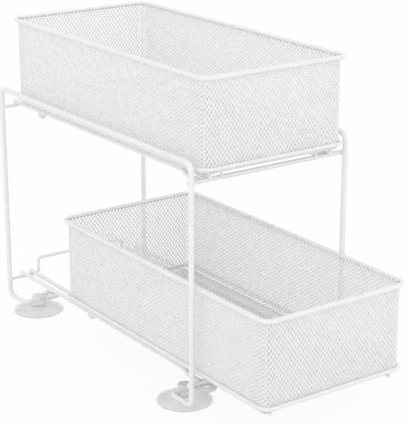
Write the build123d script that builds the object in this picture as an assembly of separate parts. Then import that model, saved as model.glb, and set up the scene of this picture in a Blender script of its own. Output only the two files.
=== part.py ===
from build123d import *
import math
import os

# An under sink organizer: two bent wire side frames on clear suction cups, joined by cross-wires,
# with twin rails at two levels, and a sliding expanded-metal basket on each level.
# Lengths are in millimetres. X is to the right, the front faces -Y and Z is up. The pieces are
# modelled about the middle of the frame's footprint on the floor, and are then moved along Y so
# that the origin is under the middle of the whole object as it stands, lower basket drawn out.

# Clearances
weld_gap = 0.05
slide_gap = 0.3

# Side frames: each is one wire, from the eye of its front foot to the eye of its back foot
side_wire_d = 6.0
leg_spacing_x = 202.6
leg_spacing_y = 400.0
top_rail_height = 279.0
top_bend_r = 9.0
foot_wire_height = 12.5
foot_bend_r = 9.0
foot_turn_r = 8.0
foot_reach = 39.3
eye_r = 8.5
eye_inset = 41.3
eye_gap = 0.4

# Suction cups, threaded on the feet; the heights of the head are told from the wire's middle
cup_r = 30.8
cup_rim_thickness = 1.0
cup_seat_width = 1.4
cup_wall = 1.8
cup_dome_height = 6.6
cup_dome_crown = 0.6
cup_shoulder_r = 10.4
cup_collar_r = 8.8
cup_collar_drop = 2.6
cup_waist_r = 7.0
cup_knob_r = 8.1
cup_knob_lift = 0.8
cup_top_cover = 7.1
cup_knob_round = 2.0
cup_edge_round = 0.6
cup_inset = 18.3

# Cross-wires, welded to the inner sides of the legs
lower_cross_height = 34.5
upper_cross_drop = 22.2
front_cross_d = 5.0
back_cross_d = 4.0
cross_overhang = 1.0
backstop_rail_gap = 5.8
backstop_rise = 19.8
backstop_bend_r = 4.6
guide_wire_d = 3.0
guide_rail_gap = 6.6
guide_wire_lift = 1.5
guide_post_rise = 5.55
guide_bend_r = 2.3

# Twin rails, welded on the back cross-wires and stepped down to the front ones
rail_d = 5.0
rail_pair_inset = 11.25
rail_spacing = 12.0
rail_back_overhang = 2.6
rail_step_setback = 22.5
rail_step_length = 12.0
rail_bend_r = 16.0

# Basket tubs of expanded metal, which fit between the legs
basket_side_gap = 3.0
tub_end_gap = 6.85
tub_height = 101.7
tub_corner_r = 15.5
tub_bend_r = 4.5
mesh_thickness = 1.0
mesh_margin = 2.5
mesh_strand = 4.2
mesh_pitch_short = 25.0
mesh_pitch_long = 36.0
upper_basket_out = 13.7
lower_basket_out = 118.1

# Basket wires, glide strips, runners and keepers
rim_d = 5.0
rim_drop = 1.0
bottom_wire_d = 4.0
bottom_wire_rise = 6.5
strip_width = 17.0
strip_thickness = 0.8
runner_d = 4.0
runner_front_inset = 4.0
runner_bend_r = 2.8
keeper_inset = 37.5
keeper_ball_r = 5.0
keeper_gap = 1.5
keeper_bore_gap = 0.05
keeper_bore_end = 1.6

# Places that follow from the sizes
leg_x = leg_spacing_x / 2
leg_y = leg_spacing_y / 2
tub_width = leg_spacing_x - side_wire_d - 2 * (basket_side_gap + rim_d + weld_gap)
tub_length = leg_spacing_y - 2 * tub_end_gap
upper_cross_height = top_rail_height - upper_cross_drop
foot_y = leg_y - foot_reach
eye_x = leg_x - eye_inset
cup_x = leg_x - cup_inset
rail_pair_spacing = tub_width - 2 * rail_pair_inset
inner_rail_x = (rail_pair_spacing - rail_spacing) / 2
outer_rail_x = (rail_pair_spacing + rail_spacing) / 2
backstop_x = inner_rail_x - rail_d / 2 - backstop_rail_gap - back_cross_d / 2
guide_x = inner_rail_x - rail_d / 2 - guide_rail_gap - guide_wire_d / 2
front_cross_y = -leg_y + side_wire_d / 2 + front_cross_d / 2 + weld_gap
back_cross_y = leg_y - side_wire_d / 2 - back_cross_d / 2 - weld_gap
guide_reach = front_cross_d / 2 + guide_wire_d / 2 + weld_gap
guide_y = front_cross_y - math.sqrt(guide_reach ** 2 - guide_wire_lift ** 2)
rail_rise = back_cross_d / 2 + rail_d / 2 + weld_gap
strip_rise = rail_rise + rail_d / 2 + slide_gap
tub_rise = strip_rise + strip_thickness
runner_rise = strip_rise - runner_d / 2 - weld_gap
keeper_reach = rail_d / 2 + keeper_ball_r + keeper_gap
keeper_rise = rail_rise - math.sqrt(keeper_reach ** 2 - (rail_spacing / 2) ** 2)
rim_outside = tub_length / 2 + rim_d + weld_gap
rest_front_y = -lower_basket_out - rim_outside
rest_back_y = leg_y + side_wire_d / 2
rest_middle_y = (rest_front_y + rest_back_y) / 2


def round_wire(path, diameter):
    """A round wire along a path."""
    start = Plane(origin=path @ 0, z_dir=path % 0)
    return sweep(start * Circle(diameter / 2), path=path)


def side_wire(side):
    """One side frame: legs, top rail and both feet, each ending in a closed eye."""
    x = side * leg_x
    corners = [
        (side * eye_x, -foot_y, foot_wire_height),
        (x, -foot_y, foot_wire_height),
        (x, -leg_y, foot_wire_height),
        (x, -leg_y, top_rail_height),
        (x, leg_y, top_rail_height),
        (x, leg_y, foot_wire_height),
        (x, foot_y, foot_wire_height),
        (side * eye_x, foot_y, foot_wire_height),
    ]
    radii = [foot_turn_r, foot_bend_r, top_bend_r, top_bend_r, foot_bend_r, foot_turn_r]
    frame = FilletPolyline(*corners, radius=radii)
    return round_wire(Wire([foot_eye(side, -1), *frame.edges(), foot_eye(side, 1)]), side_wire_d)


def foot_eye(side, end):
    """The arc of a foot's eye, from the tangent point round to just short of the wire."""
    open_angle = math.degrees(math.acos(1 - (side_wire_d + eye_gap) / eye_r))
    turn = 360 - open_angle
    centre = Plane(origin=(side * eye_x, end * (foot_y + eye_r), foot_wire_height))
    start = -90 * end
    direction = -side * end
    if direction > 0:
        return centre * CenterArc((0, 0), eye_r, start, turn)
    return centre * CenterArc((0, 0), eye_r, start - turn, turn)


def suction_cup(side, end):
    """A clear cup: a thin dome, a collar, and a knob with a cross hole for the wire at its waist."""
    rim_top = (cup_r, cup_rim_thickness)
    shoulder = (cup_shoulder_r, cup_dome_height)
    dome_middle = (
        (rim_top[0] + shoulder[0]) / 2,
        (rim_top[1] + shoulder[1]) / 2 + cup_dome_crown,
    )
    collar_top = foot_wire_height - cup_collar_drop
    knob_foot = foot_wire_height + cup_knob_lift
    knob_top = foot_wire_height + cup_top_cover
    collar_foot = (cup_collar_r, cup_dome_height + cup_shoulder_r - cup_collar_r)
    collar_side = (cup_collar_r, collar_top - cup_edge_round)
    collar_edge = (cup_collar_r - cup_edge_round, collar_top)
    knob_under = (cup_knob_r - cup_edge_round, knob_foot)
    knob_low = (cup_knob_r, knob_foot + cup_edge_round)
    knob_high = (cup_knob_r, knob_top - cup_knob_round)
    knob_edge = (cup_knob_r - cup_knob_round, knob_top)
    seat = (cup_r - cup_seat_width, 0)
    hollow_top = (0, cup_dome_height - cup_wall)
    profile = [
        Polyline(seat, (cup_r, 0), rim_top),
        ThreePointArc(rim_top, dome_middle, shoulder),
        TangentArc(shoulder, collar_foot, tangent=(-1, 0)),
        Line(collar_foot, collar_side),
        TangentArc(collar_side, collar_edge, tangent=(0, 1)),
        Polyline(collar_edge, (cup_waist_r, collar_top), (cup_waist_r, knob_foot), knob_under),
        TangentArc(knob_under, knob_low, tangent=(1, 0)),
        Line(knob_low, knob_high),
        TangentArc(knob_high, knob_edge, tangent=(0, 1)),
        Polyline(knob_edge, (0, knob_top), hollow_top),
        TangentArc(hollow_top, seat, tangent=(1, 0)),
    ]
    cup = revolve(Plane.XZ * make_face(profile), Axis.Z)
    hole = Cylinder(side_wire_d / 2 + weld_gap, cup_r, rotation=(0, 90, 0))
    cup -= Pos(0, 0, foot_wire_height) * hole
    return Pos(side * cup_x, end * foot_y, 0) * cup


def front_cross_wire(height):
    """A straight wire between the front legs."""
    end_x = leg_x + cross_overhang
    return round_wire(Line((-end_x, front_cross_y, height), (end_x, front_cross_y, height)), front_cross_d)


def back_cross_wire(height):
    """A wire between the back legs, raised in the middle as the baskets' backstop."""
    end_x = leg_x + cross_overhang
    top = height + backstop_rise
    path = FilletPolyline(
        (-end_x, back_cross_y, height),
        (-backstop_x, back_cross_y, height),
        (-backstop_x, back_cross_y, top),
        (backstop_x, back_cross_y, top),
        (backstop_x, back_cross_y, height),
        (end_x, back_cross_y, height),
        radius=backstop_bend_r,
    )
    return round_wire(path, back_cross_d)


def front_guide_wire(height):
    """A thin wire along the face of the front cross-wire, with both ends turned up as short posts."""
    level = height + guide_wire_lift
    tip = level + guide_post_rise
    path = FilletPolyline(
        (-guide_x, guide_y, tip),
        (-guide_x, guide_y, level),
        (guide_x, guide_y, level),
        (guide_x, guide_y, tip),
        radius=guide_bend_r,
    )
    return round_wire(path, guide_wire_d)


def rail(x, height):
    """A rail wire, stepped down at the front to butt against the front cross-wire."""
    front_y = front_cross_y + front_cross_d / 2 + weld_gap
    step_y = front_cross_y + rail_step_setback
    path = FilletPolyline(
        (x, back_cross_y + rail_back_overhang, height + rail_rise),
        (x, step_y + rail_step_length, height + rail_rise),
        (x, step_y, height),
        (x, front_y, height),
        radius=rail_bend_r,
    )
    return round_wire(path, rail_d)


def rim_loop(diameter, height):
    """A closed wire round the tub, welded to the outside of its walls."""
    out = diameter / 2 + weld_gap
    outline = RectangleRounded(tub_width + 2 * out, tub_length + 2 * out, tub_corner_r + out)
    return round_wire(Pos(0, 0, height) * outline.wire(), diameter)


def wall_strip():
    """The upright part of the tub's section, with the outer face on the local Z axis."""
    height = tub_height - tub_bend_r
    return Pos(mesh_thickness / 2, tub_bend_r + height / 2) * Rectangle(mesh_thickness, height)


def wall_bend():
    """The bent foot of the tub's section, down to the edge of the flat floor."""
    ring = Circle(tub_bend_r) - Circle(tub_bend_r - mesh_thickness)
    quarter = Pos(-tub_bend_r / 2, -tub_bend_r / 2) * Rectangle(tub_bend_r, tub_bend_r)
    return Pos(tub_bend_r, tub_bend_r) * (ring & quarter)


def net_openings(length, height, pitch_x, pitch_y):
    """Staggered diamonds, whole ones only, stretched a little so that they fill a sheet."""
    columns = 2 * round((length - 2 * mesh_margin) / pitch_x)
    rows = 2 * round((height - 2 * mesh_margin) / pitch_y)
    step_x = (length - 2 * mesh_margin) / columns
    step_y = (height - 2 * mesh_margin) / rows
    inset_share = mesh_strand / 2 * math.hypot(step_x, step_y) / (step_x * step_y)
    reach_x = step_x * (1 - inset_share)
    reach_y = step_y * (1 - inset_share)
    openings = []
    for row in range(1, rows):
        for column in range(1, columns):
            if (row + column) % 2 == 0:
                x = column * step_x - columns * step_x / 2
                y = row * step_y - rows * step_y / 2
                points = [(x - reach_x, y), (x, y - reach_y), (x + reach_x, y), (x, y + reach_y)]
                openings.append(Wire.make_polygon(points))
    return openings


def mesh_wall(length, pitch_x, pitch_y):
    """A wall facing -Y with its outer face at y = 0: a flat net and the bend along its foot."""
    height = tub_height - tub_bend_r
    sheet = Face(Rectangle(length, height).wire(), net_openings(length, height, pitch_x, pitch_y))
    net = Pos(0, 0, tub_bend_r + height / 2) * extrude(Plane.XZ * sheet, -mesh_thickness)
    bend = Pos(-length / 2, 0, 0) * extrude(Plane.YZ * wall_bend(), length)
    return net + bend


def mesh_front():
    """The front wall, long way of the diamonds upright."""
    wall = mesh_wall(tub_width - 2 * tub_corner_r, mesh_pitch_short, mesh_pitch_long)
    return Pos(0, -tub_length / 2, 0) * wall


def mesh_back():
    """The back wall."""
    return Rot(0, 0, 180) * mesh_front()


def mesh_side(side):
    """A side wall, long way of the diamonds along the depth."""
    wall = mesh_wall(tub_length - 2 * tub_corner_r, mesh_pitch_long, mesh_pitch_short)
    return Rot(0, 0, side * 90) * Pos(0, -tub_width / 2, 0) * wall


def mesh_corners():
    """The four rounded corners, the wall's section turned about each upright corner axis."""
    section = Plane.XZ * (Pos(-tub_corner_r, 0) * (wall_strip() + wall_bend()))
    corner = revolve(section, Axis.Z, 90)
    height = tub_height - tub_bend_r
    chord = tub_corner_r * math.sqrt(2)
    gaps = [Face(gap) for gap in net_openings(chord, height, chord - 2 * mesh_margin, mesh_pitch_long)]
    slots = extrude(Plane.XZ * Sketch(gaps), tub_corner_r)
    corner -= Rot(0, 0, -45) * Pos(0, 0, tub_bend_r + height / 2) * slots
    corners = Part()
    for side in (-1, 1):
        for end in (-1, 1):
            turn = {(-1, -1): 0, (1, -1): 90, (1, 1): 180, (-1, 1): 270}[side, end]
            x = side * (tub_width / 2 - tub_corner_r)
            y = end * (tub_length / 2 - tub_corner_r)
            corners += Pos(x, y, 0) * Rot(0, 0, turn) * corner
    return corners


def mesh_floor():
    """The flat floor, with plain margins over the glide strips and rounded corners."""
    width = tub_width - 2 * tub_bend_r
    length = tub_length - 2 * tub_bend_r
    net_width = rail_pair_spacing - strip_width
    outline = RectangleRounded(width, length, tub_corner_r - tub_bend_r)
    openings = net_openings(net_width, length, mesh_pitch_short, mesh_pitch_long)
    return extrude(Face(outline.wire(), openings), mesh_thickness)


def glide_strip(side):
    """A flat strip under the floor, which slides on one pair of rails."""
    strip = Box(strip_width, tub_length - 2 * tub_bend_r, strip_thickness)
    return Pos(side * rail_pair_spacing / 2, 0, -strip_thickness / 2) * strip


def runner(side):
    """A wire under a glide strip, between the rails, with its back end turned down."""
    x = side * rail_pair_spacing / 2
    level = runner_rise - tub_rise
    keeper_y = tub_length / 2 - keeper_inset
    path = FilletPolyline(
        (x, -tub_length / 2 + runner_front_inset, level),
        (x, keeper_y, level),
        (x, keeper_y, keeper_rise - tub_rise),
        radius=runner_bend_r,
    )
    return round_wire(path, runner_d)


def keeper(side):
    """A ball on the runner's turned-down end, under the rails, with a blind bore."""
    bore_depth = keeper_ball_r + keeper_bore_end
    bore = Cylinder(runner_d / 2 + keeper_bore_gap, bore_depth)
    ball = Sphere(keeper_ball_r) - Pos(0, 0, bore_depth / 2 - keeper_bore_end) * bore
    place = Pos(side * rail_pair_spacing / 2, tub_length / 2 - keeper_inset, keeper_rise - tub_rise)
    return place * ball


def basket_pieces():
    """The pieces of one basket, with the underside of its floor at z = 0."""
    return {
        "rim_wire": rim_loop(rim_d, tub_height - rim_drop),
        "bottom_wire": rim_loop(bottom_wire_d, bottom_wire_rise),
        "mesh_front": mesh_front(),
        "mesh_back": mesh_back(),
        "mesh_left": mesh_side(-1),
        "mesh_right": mesh_side(1),
        "mesh_corners": mesh_corners(),
        "mesh_floor": mesh_floor(),
        "glide_strip_left": glide_strip(-1),
        "glide_strip_right": glide_strip(1),
        "runner_left": runner(-1),
        "runner_right": runner(1),
        "keeper_left": keeper(-1),
        "keeper_right": keeper(1),
    }


def frame_pieces():
    """The pieces of the frame that stand on the floor and carry both baskets."""
    pieces = {}
    for side_name, side in (("left", -1), ("right", 1)):
        pieces[f"{side_name}_side_wire"] = side_wire(side)
        for end_name, end in (("front", -1), ("back", 1)):
            pieces[f"{end_name}_{side_name}_suction_cup"] = suction_cup(side, end)
    for level_name, height in (("lower", lower_cross_height), ("upper", upper_cross_height)):
        pieces[f"{level_name}_front_cross_wire"] = front_cross_wire(height)
        pieces[f"{level_name}_back_cross_wire"] = back_cross_wire(height)
        pieces[f"{level_name}_front_guide_wire"] = front_guide_wire(height)
        for side_name, side in (("left", -1), ("right", 1)):
            pieces[f"{level_name}_{side_name}_inner_rail"] = rail(side * inner_rail_x, height)
            pieces[f"{level_name}_{side_name}_outer_rail"] = rail(side * outer_rail_x, height)
    return pieces


def all_pieces():
    """Every piece in its place about the middle of the frame."""
    pieces = frame_pieces()
    for name, piece in basket_pieces().items():
        pieces[f"lower_{name}"] = Pos(0, -lower_basket_out, lower_cross_height + tub_rise) * piece
        pieces[f"upper_{name}"] = Pos(0, -upper_basket_out, upper_cross_height + tub_rise) * piece
    return pieces


os.makedirs("parts", exist_ok=True)
for node, shape in all_pieces().items():
    export_step(Pos(0, -rest_middle_y, 0) * shape, f"parts/{node}.step")
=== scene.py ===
"""An under sink organizer in white coated wire and expanded metal, with a sliding basket on each level.

The frame's wires, the cups, strips, runners and keepers keep their own solids. The baskets' nets are rebuilt
here strand by strand, the wires round the tubs follow the nets' tighter corners, and the frame gets its weld
beads. Lengths are in metres.
"""

import math

import bpy
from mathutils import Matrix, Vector

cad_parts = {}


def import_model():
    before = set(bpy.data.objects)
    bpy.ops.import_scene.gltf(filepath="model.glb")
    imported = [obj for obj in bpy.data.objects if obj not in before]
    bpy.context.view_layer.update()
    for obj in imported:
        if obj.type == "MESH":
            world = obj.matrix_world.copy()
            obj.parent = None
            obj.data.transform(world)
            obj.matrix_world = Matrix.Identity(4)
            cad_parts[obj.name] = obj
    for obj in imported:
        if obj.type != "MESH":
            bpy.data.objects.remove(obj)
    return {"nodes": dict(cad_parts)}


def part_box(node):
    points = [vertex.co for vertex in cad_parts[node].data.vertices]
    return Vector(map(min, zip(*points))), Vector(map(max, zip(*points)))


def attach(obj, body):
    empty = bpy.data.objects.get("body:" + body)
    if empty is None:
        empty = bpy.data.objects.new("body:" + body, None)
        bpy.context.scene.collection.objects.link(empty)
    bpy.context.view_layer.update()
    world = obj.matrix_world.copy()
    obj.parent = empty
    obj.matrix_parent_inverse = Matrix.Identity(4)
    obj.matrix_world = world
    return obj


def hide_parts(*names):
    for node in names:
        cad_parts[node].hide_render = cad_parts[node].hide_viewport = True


MM = 0.001
LEVELS = ("upper", "lower")

# Camera, fitted to the photograph
IMAGE_LONG_SIDE = 424
CAMERA_PLACE = Vector((-0.899, -1.286, 0.686))
CAMERA_AZIMUTH = math.radians(-35.45)
CAMERA_ELEVATION = math.radians(18.18)
FOCAL_PIXELS = 1455
SENSOR = 36

# Light: a bright even studio, with lamps as (name, place, size, power)
WORLD_STRENGTH = 0.93
LAMPS = (
    ("key", (-2.0, -1.7, 1.2), 2.2, 8),
    ("fill", (1.6, -2.0, 0.9), 2.0, 3),
    ("top", (0.2, 0.4, 2.4), 1.8, 1.5),
)
LAMP_AIM = Vector((0, 0, 0.18))
FLOOR_REACH = 12
FLOOR_COLOUR = (0.94, 0.94, 0.94, 1)
FLOOR_ROUGHNESS = 0.9
FLOOR_GLOW_SHARE = 0.9
WHITE = (1, 1, 1, 1)
WHITE_GLOW = 1.0

# Coated surfaces, as (name, darkest colour, palest colour, roughness)
WIRE_COAT = ("white_wire", (0.84, 0.85, 0.85), (0.885, 0.895, 0.895), 0.42)
NET_COAT = ("white_net", (0.86, 0.87, 0.87), (0.905, 0.915, 0.915), 0.5)
BALL_COAT = ("white_ball", (0.83, 0.84, 0.84), (0.88, 0.885, 0.885), 0.35)
COAT_WEIGHT = 0.15
COAT_ROUGHNESS = 0.25

# Textures, as (scale, detail), and reliefs, as (strength, depth)
MOTTLING = (90, 3)
ORANGE_PEEL = (1600, 2)
ORANGE_PEEL_RELIEF = (0.12, 0.2 * MM)
CLOUDING = (60, 2)
WAVINESS = (220, 2)
WAVINESS_RELIEF = (0.05, 0.3 * MM)
RAMP_SHARES = (0.3, 0.7)

# Suction cups: darkest and palest colour, clearness, and where up the height they change
CUP_DISC_COLOURS = ((0.80, 0.805, 0.815), (0.87, 0.875, 0.885))
# The knob's paler colours are painted light: the knob, which catches the light, is drawn paler than the disc
# of the same plastic.
CUP_KNOB_PAINTED_LIGHT_COLOURS = ((0.94, 0.94, 0.96), (0.97, 0.97, 0.98))
CUP_ROUGHNESS = 0.2
CUP_REFRACTION = 1.25
CUP_DISC_CLEAR = 0.85
CUP_KNOB_CLEAR = 0.3
CUP_DISC_TOP_SHARE = 0.35
CUP_KNOB_FOOT_SHARE = 0.5

# Net of a basket: the sheet is one cross-shaped blank of diamonds, folded up at the bends
TUB_CORNER = 9.5 * MM
TUB_BEND = 4.5 * MM
SHEET_THICKNESS = 1.0 * MM
DIAMOND_SHORT = 4.65 * MM
DIAMOND_LONG = 6.7 * MM
STRAND = 1.2 * MM
STRAND_THICKNESS = 1.35 * MM

# Rise of a tilted strand's edge, half a blunt bond in half diamonds, and widening of strands at a cut edge
STRAND_RAISE = 0.15 * MM
BOND_SHARE = 0.12
CUT_EDGE_WIDENING = 1.4

# A lattice place is past a fold when it is more than this many rows beyond it
LATTICE_TINY = 1e-6

# Wires round the tubs
LOOP_TURNS = 20
LOOP_CORNER_STEPS = 10

# Weld beads on the frame, sized as shares of the thinner wire's radius
LEG_RADIUS = 3.0 * MM
BEAD_REACH_SHARE = 1.08
BEAD_RISE_SHARE = 0.5
BEAD_RIPPLE_SHARE = 0.07
BEAD_BROAD_LOBES = 3
BEAD_NARROW_LOBES = 4
BEAD_TURNS = 16
BEAD_RINGS = 7


def camera():
    """The photograph's viewpoint, with no shift."""
    back = Vector(
        (
            math.sin(CAMERA_AZIMUTH) * math.cos(CAMERA_ELEVATION),
            -math.cos(CAMERA_AZIMUTH) * math.cos(CAMERA_ELEVATION),
            math.sin(CAMERA_ELEVATION),
        )
    )
    data = bpy.data.cameras.new("camera")
    data.sensor_width = SENSOR
    data.lens = FOCAL_PIXELS / IMAGE_LONG_SIDE * SENSOR
    viewer = bpy.data.objects.new("camera", data)
    viewer.location = CAMERA_PLACE
    viewer.rotation_mode = "QUATERNION"
    viewer.rotation_quaternion = (-back).to_track_quat("-Z", "Y")
    bpy.context.scene.collection.objects.link(viewer)
    bpy.context.scene.camera = viewer


def add_object(name, mesh, body, material):
    """Puts a mesh into the scene as a piece that rides on a body."""
    piece = bpy.data.objects.new(name, mesh)
    bpy.context.scene.collection.objects.link(piece)
    mesh.materials.append(material)
    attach(piece, body)
    return piece


def new_material(name):
    """A node material and its shader, with nothing linked yet."""
    material = bpy.data.materials.new(name)
    material.use_nodes = True
    return material, material.node_tree, material.node_tree.nodes["Principled BSDF"]


def noise(tree, texture_values):
    """A noise texture in object space, from its scale and detail."""
    scale, detail = texture_values
    place = tree.nodes.new("ShaderNodeTexCoord")
    texture = tree.nodes.new("ShaderNodeTexNoise")
    texture.inputs["Scale"].default_value = scale
    texture.inputs["Detail"].default_value = detail
    tree.links.new(place.outputs["Object"], texture.inputs["Vector"])
    return texture


def ramp(tree, source, low, high):
    """A colour ramp from low to high, driven by a texture's factor."""
    band = tree.nodes.new("ShaderNodeValToRGB")
    for element, position, colour in zip(band.color_ramp.elements, RAMP_SHARES, (low, high)):
        element.position = position
        element.color = (*colour, 1)
    tree.links.new(source.outputs["Fac"], band.inputs["Fac"])
    return band


def bump(tree, source, shader, relief_values):
    """A bump from a texture's factor, with its strength and depth."""
    strength, depth = relief_values
    relief = tree.nodes.new("ShaderNodeBump")
    relief.inputs["Strength"].default_value = strength
    relief.inputs["Distance"].default_value = depth
    tree.links.new(source.outputs["Fac"], relief.inputs["Height"])
    tree.links.new(relief.outputs["Normal"], shader.inputs["Normal"])


def coated_material(name, low, high, roughness):
    """White powder coat: slight mottling and a fine orange-peel relief."""
    material, tree, shader = new_material(name)
    tint = ramp(tree, noise(tree, MOTTLING), low, high)
    tree.links.new(tint.outputs["Color"], shader.inputs["Base Color"])
    shader.inputs["Roughness"].default_value = roughness
    shader.inputs["Coat Weight"].default_value = COAT_WEIGHT
    shader.inputs["Coat Roughness"].default_value = COAT_ROUGHNESS
    bump(tree, noise(tree, ORANGE_PEEL), shader, ORANGE_PEEL_RELIEF)
    return material


def cup_material():
    """Clear soft plastic: a clear grey disc that grows cloudier up into the knob, which is thicker; the
    knob's paler colour is painted light that it catches.
    """
    material, tree, shader = new_material("clear_cup")
    clouding = noise(tree, CLOUDING)
    disc = ramp(tree, clouding, *CUP_DISC_COLOURS)
    knob = ramp(tree, clouding, *CUP_KNOB_PAINTED_LIGHT_COLOURS)
    place = tree.nodes.new("ShaderNodeTexCoord")
    height = tree.nodes.new("ShaderNodeSeparateXYZ")
    tree.links.new(place.outputs["Generated"], height.inputs["Vector"])
    # Share of the knob's paler colours, which are painted light, rising with height up the cup.
    knob_painted_light_share = height_share(tree, height, 0, 1)
    mix = tree.nodes.new("ShaderNodeMix")
    mix.data_type = "RGBA"
    tree.links.new(knob_painted_light_share.outputs["Result"], mix.inputs["Factor"])
    tree.links.new(disc.outputs["Color"], mix.inputs["A"])
    tree.links.new(knob.outputs["Color"], mix.inputs["B"])
    tree.links.new(mix.outputs["Result"], shader.inputs["Base Color"])
    clear = height_share(tree, height, CUP_DISC_CLEAR, CUP_KNOB_CLEAR)
    tree.links.new(clear.outputs["Result"], shader.inputs["Transmission Weight"])
    shader.inputs["Roughness"].default_value = CUP_ROUGHNESS
    shader.inputs["IOR"].default_value = CUP_REFRACTION
    bump(tree, noise(tree, WAVINESS), shader, WAVINESS_RELIEF)
    return material


def height_share(tree, height, low, high):
    """A value that goes from low on a cup's disc to high on its knob."""
    share = tree.nodes.new("ShaderNodeMapRange")
    share.inputs["From Min"].default_value = CUP_DISC_TOP_SHARE
    share.inputs["From Max"].default_value = CUP_KNOB_FOOT_SHARE
    share.inputs["To Min"].default_value = low
    share.inputs["To Max"].default_value = high
    tree.links.new(height.outputs["Z"], share.inputs["Value"])
    return share


def section_point(run):
    """Distance in from the outer wall and height, at a run up the wall's section from the floor's edge."""
    middle = TUB_BEND - SHEET_THICKNESS / 2
    quarter = middle * math.pi / 2
    if run < quarter:
        angle = run / middle
        inward = TUB_BEND - middle * math.sin(angle)
        rise = TUB_BEND - middle * math.cos(angle)
        normal = (math.sin(angle), -math.cos(angle))
    else:
        inward = SHEET_THICKNESS / 2
        rise = TUB_BEND + run - quarter
        normal = (1, 0)
    return inward, rise, normal


class Tub:
    """The folded sheet of one basket: maps a point of the flat blank to its place and outward normal."""

    def __init__(self, low, high):
        self.middle = (low + high) / 2
        self.floor = low.z
        self.half_width = (high.x - low.x) / 2
        self.half_length = (high.y - low.y) / 2
        self.height = high.z - low.z
        self.fold_x = self.half_width - TUB_BEND
        self.fold_y = self.half_length - TUB_BEND
        self.corner_x = self.half_width - TUB_CORNER
        self.corner_y = self.half_length - TUB_CORNER
        self.wall_run = (TUB_BEND - SHEET_THICKNESS / 2) * math.pi / 2 + self.height - TUB_BEND

    def place(self, s, t, on_side, on_end):
        """Place and outward normal of the sheet's middle at blank coordinates s across and t along."""
        side = math.copysign(1, s)
        end = math.copysign(1, t)
        s = abs(s)
        t = abs(t)
        if on_side:
            run = s - self.fold_x
            angle, along = self.round_corner(t, self.corner_y, self.fold_y, run)
            x, y, z, normal = self.wall(run, angle, self.corner_x, along)
        elif on_end:
            run = t - self.fold_y
            angle, along = self.round_corner(s, self.corner_x, self.fold_x, run)
            x, y, z, normal = self.wall(run, math.pi / 2 - angle, along, self.corner_y)
        else:
            x, y = self.flat(s, t)
            z = SHEET_THICKNESS / 2
            normal = Vector((0, 0, -1))
        place = Vector((self.middle.x + side * x, self.middle.y + end * y, self.floor + z))
        return place, Vector((side * normal.x, end * normal.y, normal.z))

    def round_corner(self, along, start, fold, run):
        """The angle round the corner of a wall's point, up to 45 degrees, and its place along the wall.

        Above the bend the wall is longer than the blank's flap, and the net is stretched evenly along it.
        """
        share = min(1, run / (TUB_BEND * math.pi / 2))
        reach = fold + share * (start + TUB_CORNER * math.pi / 4 - fold)
        along *= reach / fold
        return max(0, along - start) / (reach - start) * math.pi / 4, min(along, start)

    def wall(self, run, angle, centre_x, centre_y):
        """A point on the upright wall or its bend, turned round a corner by an angle."""
        inward, rise, (across, up) = section_point(run)
        reach = TUB_CORNER - inward
        x = centre_x + reach * math.cos(angle)
        y = centre_y + reach * math.sin(angle)
        return x, y, rise, Vector((across * math.cos(angle), across * math.sin(angle), up))

    def flat(self, s, t):
        """A point on the floor, with the blank's square corners drawn in to the round ones."""
        over_x = s - self.corner_x
        over_y = t - self.corner_y
        if over_x <= 0 or over_y <= 0:
            return s, t
        if over_x >= over_y:
            reach = over_x
            angle = over_y / over_x * math.pi / 4
        else:
            reach = over_y
            angle = math.pi / 2 - over_x / over_y * math.pi / 4
        return self.corner_x + reach * math.cos(angle), self.corner_y + reach * math.sin(angle)


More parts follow.
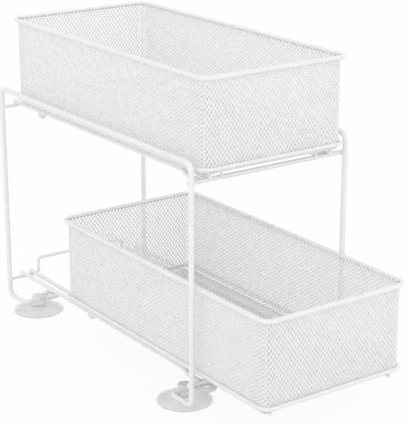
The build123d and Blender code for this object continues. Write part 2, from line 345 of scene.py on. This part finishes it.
class Net:
    """The tub's sheet slit and stretched into diamonds, which run on over the folds of the blank.

    A lattice place counts half diamonds from the blank's middle: i across and j along. An opening lies round
    each place where i + j is odd, and its four corners are the places next to it.
    """

    def __init__(self, tub, margin):
        self.tub = tub
        self.margin = margin
        self.across = round(2 * tub.fold_x / DIAMOND_SHORT)
        self.along = round(2 * tub.fold_y / DIAMOND_LONG)
        self.along += (self.across + self.along) % 2
        self.step_s = tub.fold_x / self.across
        self.step_t = tub.fold_y / self.along
        self.side_rows = round(tub.wall_run / self.step_s)
        self.end_rows = round(tub.wall_run / self.step_t)
        self.side_step = tub.wall_run / self.side_rows
        self.end_step = tub.wall_run / self.end_rows
        self.inset = STRAND / 2 * math.hypot(self.step_s, self.step_t) / (self.step_s * self.step_t)
        self.vertices = []
        self.faces = []
        self.shared = {}

    def in_blank(self, i, j):
        """Whether a lattice place lies on the cross-shaped blank."""
        over_side = abs(i) - self.across
        over_end = abs(j) - self.along
        if over_side > 0:
            return over_side <= self.side_rows and over_end <= 0
        return over_end <= self.end_rows

    def add_pair(self, i, j, lift):
        """Adds the outer and inner vertex at a lattice place and returns the outer one's index.

        A lift of 1 is the outermost that a tilted strand reaches, and -1 the innermost.
        """
        over_side = abs(i) - self.across
        over_end = abs(j) - self.along
        on_side = over_side > LATTICE_TINY
        on_end = over_end > LATTICE_TINY and not on_side
        s = i * self.step_s
        t = j * self.step_t
        if on_side:
            s = math.copysign(self.tub.fold_x + over_side * self.side_step, s)
        if on_end:
            t = math.copysign(self.tub.fold_y + over_end * self.end_step, t)
        place, normal = self.tub.place(s, t, on_side, on_end)
        outer = place + normal * (SHEET_THICKNESS / 2 + STRAND_RAISE * (lift - 1))
        self.vertices.append(outer)
        self.vertices.append(outer - normal * STRAND_THICKNESS)
        return len(self.vertices) - 2

    def node(self, i, j):
        """The vertex pair that neighbouring openings share where their strands cross."""
        if (i, j) not in self.shared:
            self.shared[i, j] = self.add_pair(i, j, 0)
        return self.shared[i, j]

    def ring(self, i, corners, inset):
        """The strands round an opening: both faces, and the opening's own walls, blunt at the bonds.

        The inset is the share of the way from a corner to the opening's middle that the strands take up.
        """
        outer = [self.node(*corner) for corner in corners]
        centre_i = sum(corner[0] for corner in corners) / len(corners)
        centre_j = sum(corner[1] for corner in corners) / len(corners)
        spans = []
        for corner_i, corner_j in corners:
            near_i = corner_i + (centre_i - corner_i) * inset
            near_j = corner_j + (centre_j - corner_j) * inset
            if corner_i == i:
                first = 1 if corner_j > centre_j else -1
                pair = [self.add_pair(near_i + side * BOND_SHARE, near_j, -side) for side in (first, -first)]
            else:
                pair = [self.add_pair(near_i, near_j, i - corner_i)]
            spans.append(pair)
        for one in range(len(corners)):
            two = (one + 1) % len(corners)
            self.face((outer[two], outer[one], spans[one][-1], spans[two][0]))
            self.wall(spans[two][0], spans[one][-1])
            if len(spans[one]) == 2:
                self.face((outer[one], spans[one][0], spans[one][1]))
                self.wall(spans[one][1], spans[one][0])

    def face(self, loop):
        """A face on the outer side of the sheet and its twin on the inner side."""
        self.faces.append(loop)
        self.faces.append([place + 1 for place in reversed(loop)])

    def wall(self, start, end):
        """A face through the sheet's thickness."""
        self.faces.append((start, end, end + 1, start + 1))

    def over_strip(self, i, j):
        """Whether an opening would lie on the floor's plain margin."""
        return self.margin / self.step_s < abs(i) < self.across and abs(j) < self.along

    def cut_edge(self, start, end):
        """The sheet's own edge between two lattice places."""
        self.wall(self.node(*start), self.node(*end))

    def mesh(self, name):
        """Every opening of the blank, whole or cut in half along its edges."""
        reach_i = self.across + self.side_rows
        reach_j = self.along + self.end_rows
        for i in range(-reach_i, reach_i + 1):
            for j in range(-reach_j, reach_j + 1):
                if (i + j) % 2 == 0 or not self.in_blank(i, j):
                    continue
                corners = [(i + 1, j), (i, j + 1), (i - 1, j), (i, j - 1)]
                outside = [place for place, corner in enumerate(corners) if not self.in_blank(*corner)]
                if self.over_strip(i, j):
                    self.face([self.node(*corner) for corner in reversed(corners)])
                elif not outside:
                    self.ring(i, corners, self.inset)
                elif len(outside) == 1:
                    first = outside[0] + 1
                    corners = (corners + corners)[first:first + 3]
                    self.ring(i, corners, self.inset * CUT_EDGE_WIDENING)
                    self.cut_edge(corners[2], corners[0])
        mesh = bpy.data.meshes.new(name)
        mesh.from_pydata(self.vertices, [], self.faces)
        mesh.update()
        return mesh


def net(level, material):
    """The expanded-metal tub of one basket."""
    walls = ("mesh_front", "mesh_back", "mesh_left", "mesh_right", "mesh_corners", "mesh_floor")
    nodes = [f"{level}_{wall}" for wall in walls]
    corners = [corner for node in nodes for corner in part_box(node)]
    low = Vector([min(corner[axis] for corner in corners) for axis in range(3)])
    high = Vector([max(corner[axis] for corner in corners) for axis in range(3)])
    strip_low, strip_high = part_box(f"{level}_glide_strip_right")
    mesh = Net(Tub(low, high), strip_low.x - (low.x + high.x) / 2).mesh(f"{level}_net")
    piece = add_object(f"{level}_net", mesh, f"{level}_basket", material)
    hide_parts(*nodes)


def tub_loop(level, node, material):
    """A closed wire round a tub, in the place of its CAD node and with the net's tighter corners."""
    name = f"{level}_{node}"
    low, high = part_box(name)
    tub_low, tub_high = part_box(f"{level}_mesh_corners")
    radius = (high.z - low.z) / 2
    middle = (low + high) / 2
    half_x = middle.x - low.x - radius
    half_y = middle.y - low.y - radius
    corner = TUB_CORNER + half_x - (tub_high.x - tub_low.x) / 2
    vertices = []
    faces = []
    for quarter, (side, end) in enumerate(((1, 1), (-1, 1), (-1, -1), (1, -1))):
        for step in range(LOOP_CORNER_STEPS + 1):
            angle = math.pi / 2 * (quarter + step / LOOP_CORNER_STEPS)
            outward = Vector((math.cos(angle), math.sin(angle), 0))
            centre = middle + Vector((side * (half_x - corner), end * (half_y - corner), 0))
            centre += outward * corner
            for turn in range(LOOP_TURNS):
                bearing = math.tau * turn / LOOP_TURNS
                rise = Vector((0, 0, math.sin(bearing)))
                vertices.append(centre + (outward * math.cos(bearing) + rise) * radius)
    rings = len(vertices) // LOOP_TURNS
    for ring in range(rings):
        for turn in range(LOOP_TURNS):
            next_turn = (turn + 1) % LOOP_TURNS
            here = ring * LOOP_TURNS
            there = (ring + 1) % rings * LOOP_TURNS
            faces.append((here + turn, there + turn, there + next_turn, here + next_turn))
    mesh = bpy.data.meshes.new(f"{name}_loop")
    mesh.from_pydata(vertices, [], faces)
    mesh.shade_smooth()
    piece = add_object(f"{name}_loop", mesh, f"{level}_basket", material)
    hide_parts(name)


def weld_places():
    """Each weld of the frame, as its place, the line from wire to wire and the thinner wire's radius."""
    backward = Vector((0, 1, 0))
    upward = Vector((0, 0, 1))
    welds = []
    for level in LEVELS:
        front_low, front_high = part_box(f"{level}_front_cross_wire")
        front = (front_low + front_high) / 2
        front_r = (front_high.z - front_low.z) / 2
        back_low, back_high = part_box(f"{level}_back_cross_wire")
        back_r = (back_high.y - back_low.y) / 2
        back_y = (back_low.y + back_high.y) / 2
        back_z = back_low.z + back_r
        for side in ("left", "right"):
            side_low, side_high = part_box(f"{side}_side_wire")
            leg_x = side_low.x + LEG_RADIUS if side == "left" else side_high.x - LEG_RADIUS
            welds.append((Vector((leg_x, front.y - front_r, front.z)), backward, front_r))
            welds.append((Vector((leg_x, back_y + back_r, back_z)), backward, back_r))
            for row in ("inner", "outer"):
                rail_low, rail_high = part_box(f"{level}_{side}_{row}_rail")
                rail_x = (rail_low.x + rail_high.x) / 2
                rail_r = (rail_high.x - rail_low.x) / 2
                welds.append((Vector((rail_x, rail_low.y, front.z)), backward, rail_r))
                welds.append((Vector((rail_x, back_y, back_z + back_r)), upward, back_r))
    return welds


def bead(vertices, faces, place, line, radius):
    """A weld bead: a flattened lump round the place where two wires touch, a little rippled."""
    across = line.orthogonal().normalized()
    other = line.cross(across)
    reach = radius * BEAD_REACH_SHARE
    rise = radius * BEAD_RISE_SHARE
    first = len(vertices)
    for ring in range(1, BEAD_RINGS):
        tilt = math.pi * ring / BEAD_RINGS
        for turn in range(BEAD_TURNS):
            angle = math.tau * turn / BEAD_TURNS
            waves = math.sin(BEAD_BROAD_LOBES * angle + ring) + math.cos(BEAD_NARROW_LOBES * angle)
            ripple = 1 + BEAD_RIPPLE_SHARE * waves
            out = reach * math.sin(tilt) * ripple
            flat = across * (out * math.cos(angle)) + other * (out * math.sin(angle))
            vertices.append(place + flat + line * (rise * math.cos(tilt)))
    for ring in range(BEAD_RINGS - 2):
        for turn in range(BEAD_TURNS):
            next_turn = (turn + 1) % BEAD_TURNS
            low = first + ring * BEAD_TURNS
            high = low + BEAD_TURNS
            faces.append((low + turn, high + turn, high + next_turn, low + next_turn))
    faces.append([first + turn for turn in range(BEAD_TURNS)])
    last = first + (BEAD_RINGS - 2) * BEAD_TURNS
    faces.append([last + turn for turn in reversed(range(BEAD_TURNS))])


def frame_welds(material):
    """The beads that join the frame's wires."""
    vertices = []
    faces = []
    for place, line, radius in weld_places():
        bead(vertices, faces, place, line, radius)
    mesh = bpy.data.meshes.new("frame_welds")
    mesh.from_pydata(vertices, [], faces)
    mesh.shade_smooth()
    add_object("frame_welds", mesh, "frame", material)


def studio():
    """A white floor and world, and soft lamps above and beside the object."""
    floor_mesh = bpy.data.meshes.new("floor")
    reach = FLOOR_REACH
    corners = [(-reach, -reach, 0), (reach, -reach, 0), (reach, reach, 0), (-reach, reach, 0)]
    floor_mesh.from_pydata(corners, [], [(0, 1, 2, 3)])
    floor = bpy.data.objects.new("floor", floor_mesh)
    bpy.context.scene.collection.objects.link(floor)
    floor_mesh.materials.append(backdrop_material())
    world = bpy.data.worlds.new("world")
    world.use_nodes = True
    bpy.context.scene.world = world
    tree = world.node_tree
    sky = tree.nodes["Background"]
    sky.inputs["Color"].default_value = WHITE
    sky.inputs["Strength"].default_value = WORLD_STRENGTH
    seen = tree.nodes.new("ShaderNodeBackground")
    seen.inputs["Color"].default_value = WHITE
    seen.inputs["Strength"].default_value = WHITE_GLOW
    mix = tree.nodes.new("ShaderNodeMixShader")
    tree.links.new(seen_by_camera(tree), mix.inputs["Fac"])
    tree.links.new(sky.outputs["Background"], mix.inputs[1])
    tree.links.new(seen.outputs["Background"], mix.inputs[2])
    tree.links.new(mix.outputs["Shader"], tree.nodes["World Output"].inputs["Surface"])
    for name, place, size, power in LAMPS:
        lamp(name, place, size, power)


def seen_by_camera(tree):
    """1 for camera, glossy and transmission rays."""
    path = tree.nodes.new("ShaderNodeLightPath")
    total = path.outputs["Is Camera Ray"]
    for name in ("Is Glossy Ray", "Is Transmission Ray"):
        add = tree.nodes.new("ShaderNodeMath")
        add.operation = "MAXIMUM"
        tree.links.new(total, add.inputs[0])
        tree.links.new(path.outputs[name], add.inputs[1])
        total = add.outputs["Value"]
    return total


def backdrop_material():
    """A white floor that still takes the object's shadow."""
    material, tree, shader = new_material("backdrop")
    shader.inputs["Base Color"].default_value = FLOOR_COLOUR
    shader.inputs["Roughness"].default_value = FLOOR_ROUGHNESS
    glow = tree.nodes.new("ShaderNodeEmission")
    glow.inputs["Color"].default_value = WHITE
    glow.inputs["Strength"].default_value = WHITE_GLOW
    mix = tree.nodes.new("ShaderNodeMixShader")
    share = tree.nodes.new("ShaderNodeMath")
    share.operation = "MULTIPLY"
    share.inputs[1].default_value = FLOOR_GLOW_SHARE
    tree.links.new(seen_by_camera(tree), share.inputs[0])
    tree.links.new(share.outputs["Value"], mix.inputs["Fac"])
    tree.links.new(shader.outputs["BSDF"], mix.inputs[1])
    tree.links.new(glow.outputs["Emission"], mix.inputs[2])
    tree.links.new(mix.outputs["Shader"], tree.nodes["Material Output"].inputs["Surface"])
    return material


def lamp(name, place, size, power):
    """A soft square lamp that faces the object's middle."""
    data = bpy.data.lights.new(name, "AREA")
    data.size = size
    data.energy = power
    light = bpy.data.objects.new(name, data)
    light.location = place
    aim = LAMP_AIM - Vector(place)
    light.rotation_mode = "QUATERNION"
    light.rotation_quaternion = aim.to_track_quat("-Z", "Y")
    bpy.context.scene.collection.objects.link(light)


def dress_nodes(frame, coated, clear, ball):
    """Gives every CAD node its material: the coat, clear plastic on the cups or the balls' own coat."""
    for name, node in frame["nodes"].items():
        material = coated
        if "suction_cup" in name:
            material = clear
        if "keeper" in name:
            material = ball
        node.data.materials.clear()
        node.data.materials.append(material)


def main():
    """Builds the whole scene."""
    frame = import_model()
    bpy.context.scene.view_settings.view_transform = "Standard"
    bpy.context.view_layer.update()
    camera()
    studio()
    coated = coated_material(*WIRE_COAT)
    netting = coated_material(*NET_COAT)
    ball = coated_material(*BALL_COAT)
    dress_nodes(frame, coated, cup_material(), ball)
    for level in LEVELS:
        net(level, netting)
        tub_loop(level, "rim_wire", coated)
        tub_loop(level, "bottom_wire", coated)
    frame_welds(coated)


main()
